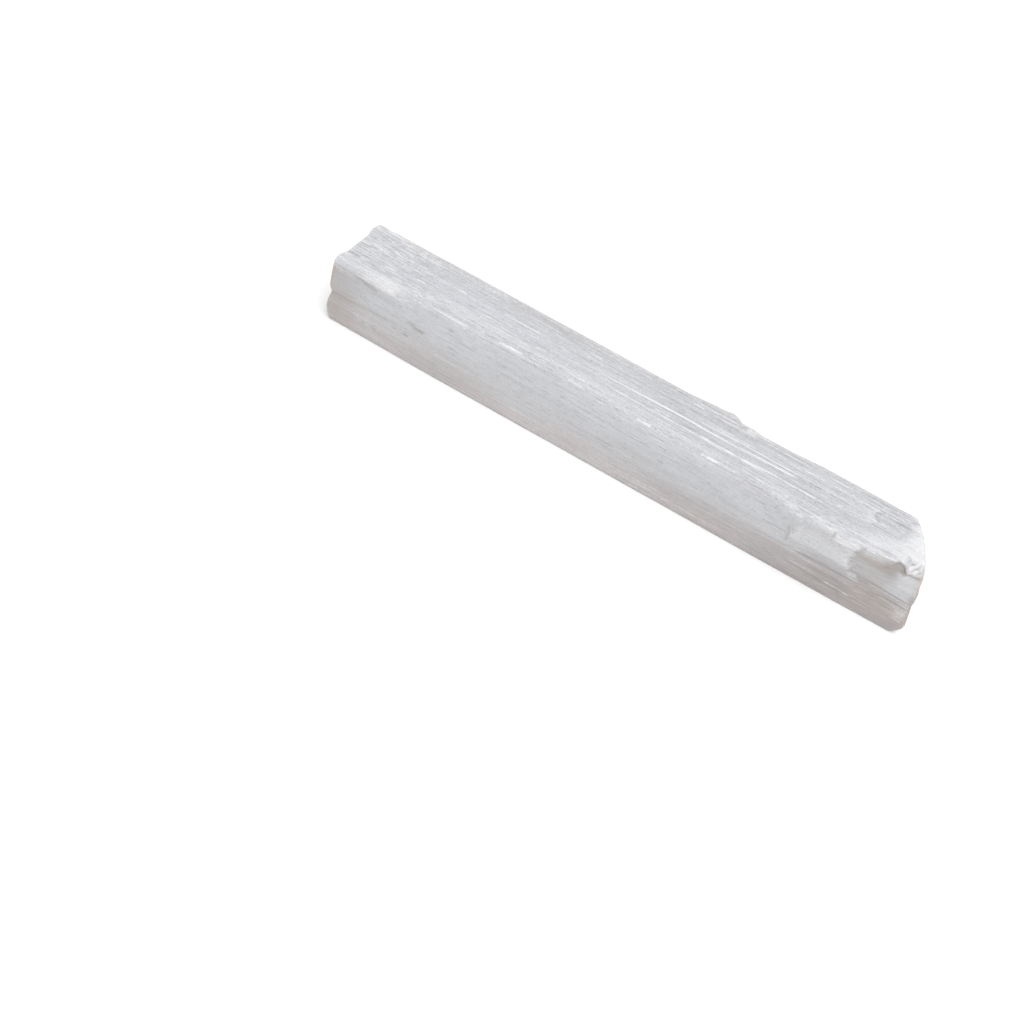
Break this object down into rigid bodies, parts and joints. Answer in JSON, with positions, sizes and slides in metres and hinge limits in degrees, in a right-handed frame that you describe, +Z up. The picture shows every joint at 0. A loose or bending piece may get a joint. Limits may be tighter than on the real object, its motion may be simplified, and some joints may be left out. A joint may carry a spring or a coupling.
{
  "type": "selenite wand",
  "caption": "Raw selenite wand: a cleaved four-sided bar of fibrous white gypsum with worn cut ends, lying flat.",
  "frame": {"origin": "on the resting surface, under the middle of the wand's box", "axes": "+X along the fibres towards the slanted end with the broken slab, -Y the bowed front face, +Z up from the flat underside"},
  "size_m": [0.152, 0.017, 0.0204],
  "materials": {
    "selenite": "silky, translucent, striated along the fibres, frosted at the ends and breaks"
  },
  "bodies": {
    "root": {"wand": "selenite"}
  },
  "joints": []
}
